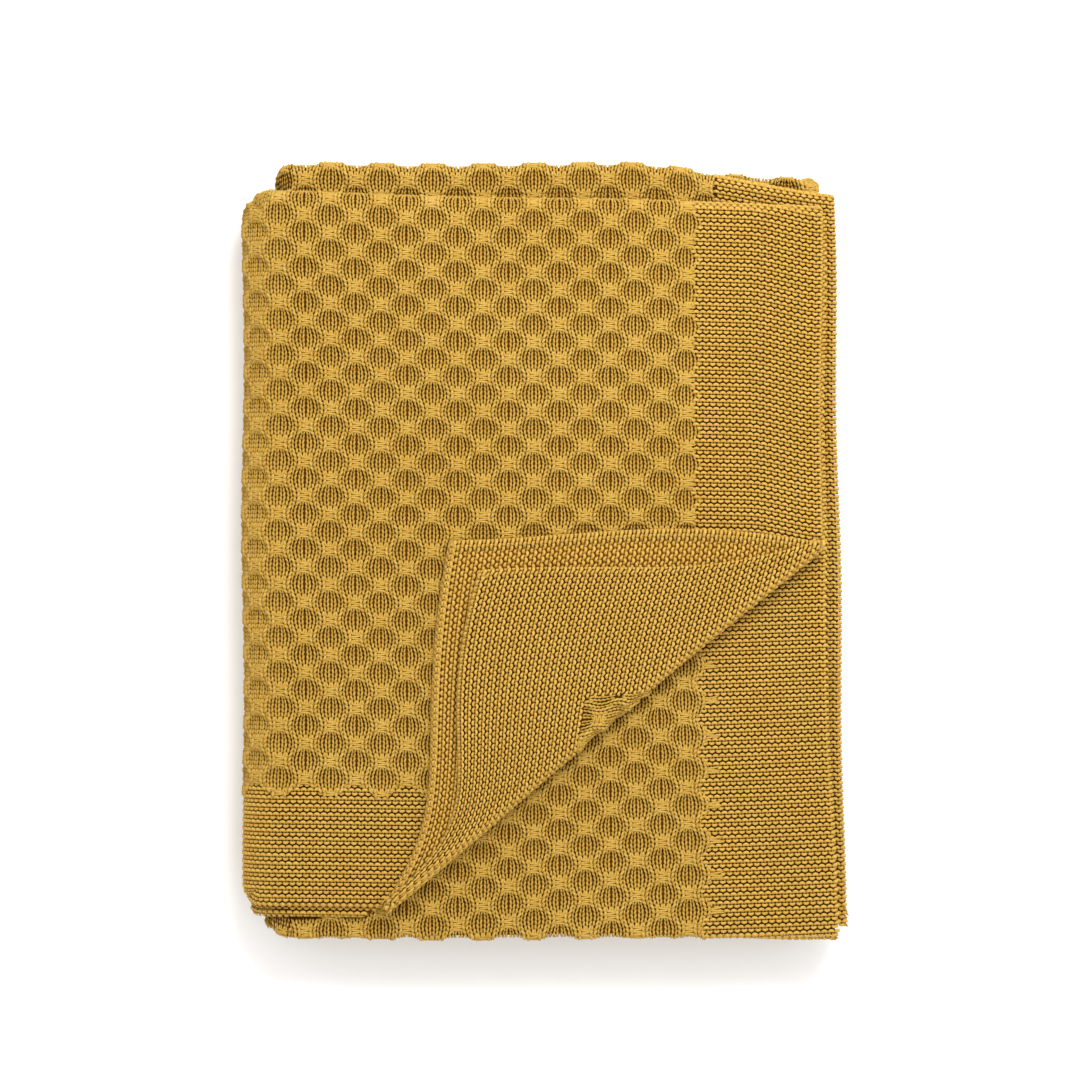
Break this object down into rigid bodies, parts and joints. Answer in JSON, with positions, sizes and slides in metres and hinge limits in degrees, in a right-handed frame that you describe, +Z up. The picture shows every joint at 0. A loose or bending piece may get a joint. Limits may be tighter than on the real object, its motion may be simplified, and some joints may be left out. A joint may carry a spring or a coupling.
{
  "type": "folded throw blanket",
  "caption": "Knitted throw folded into a thick rectangular pack, honeycomb pattern with ribbed garter-stitch borders, one corner turned back.",
  "frame": {"origin": "middle of the folded pack's footprint, on the surface it lies on", "axes": "+Z up, +Y from the hems towards the back folds (the pack's longer side), +X from the left fold towards the selvedges"},
  "size_m": [0.332, 0.425, 0.0618],
  "materials": {
    "honeycomb_knit": "matt cotton yarn in a honeycomb cable knit",
    "garter_knit": "matt cotton yarn in garter stitch"
  },
  "bodies": {
    "lower_half": {"fourth_packet": "honeycomb_knit", "third_packet": "honeycomb_knit", "fourth_packet_back_fold": "honeycomb_knit", "third_packet_back_fold": "honeycomb_knit", "right_fold": "honeycomb_knit", "outer_fold": "honeycomb_knit", "inner_fold": "honeycomb_knit"},
    "upper_half": {"second_packet": "honeycomb_knit", "second_packet_side_border": "garter_knit", "second_packet_back_fold": "honeycomb_knit", "top_packet_back_fold": "honeycomb_knit", "under_leaves": "honeycomb_knit", "second_leaf": "honeycomb_knit", "top_leaf_field": "honeycomb_knit", "top_leaf_side_border": "garter_knit", "top_leaf_hem": "garter_knit"},
    "turned_corner": {"corner_top_leaf": "garter_knit", "corner_second_leaf": "garter_knit", "corner_crease": "garter_knit"}
  },
  "joints": [
    {"name": "book_fold", "type": "hinge", "parent": "lower_half", "child": "upper_half", "pos_m": [-0.13865, 0, 0.02735], "axis": [0, -1, 0], "range_deg": [0, 175], "deforming": ["outer_fold", "inner_fold"]},
    {"name": "corner_fold", "type": "hinge", "parent": "upper_half", "child": "turned_corner", "pos_m": [0.03129, -0.09205, 0.05485], "axis": [0.762, 0.6476, 0], "range_deg": [0, 175]}
  ]
}
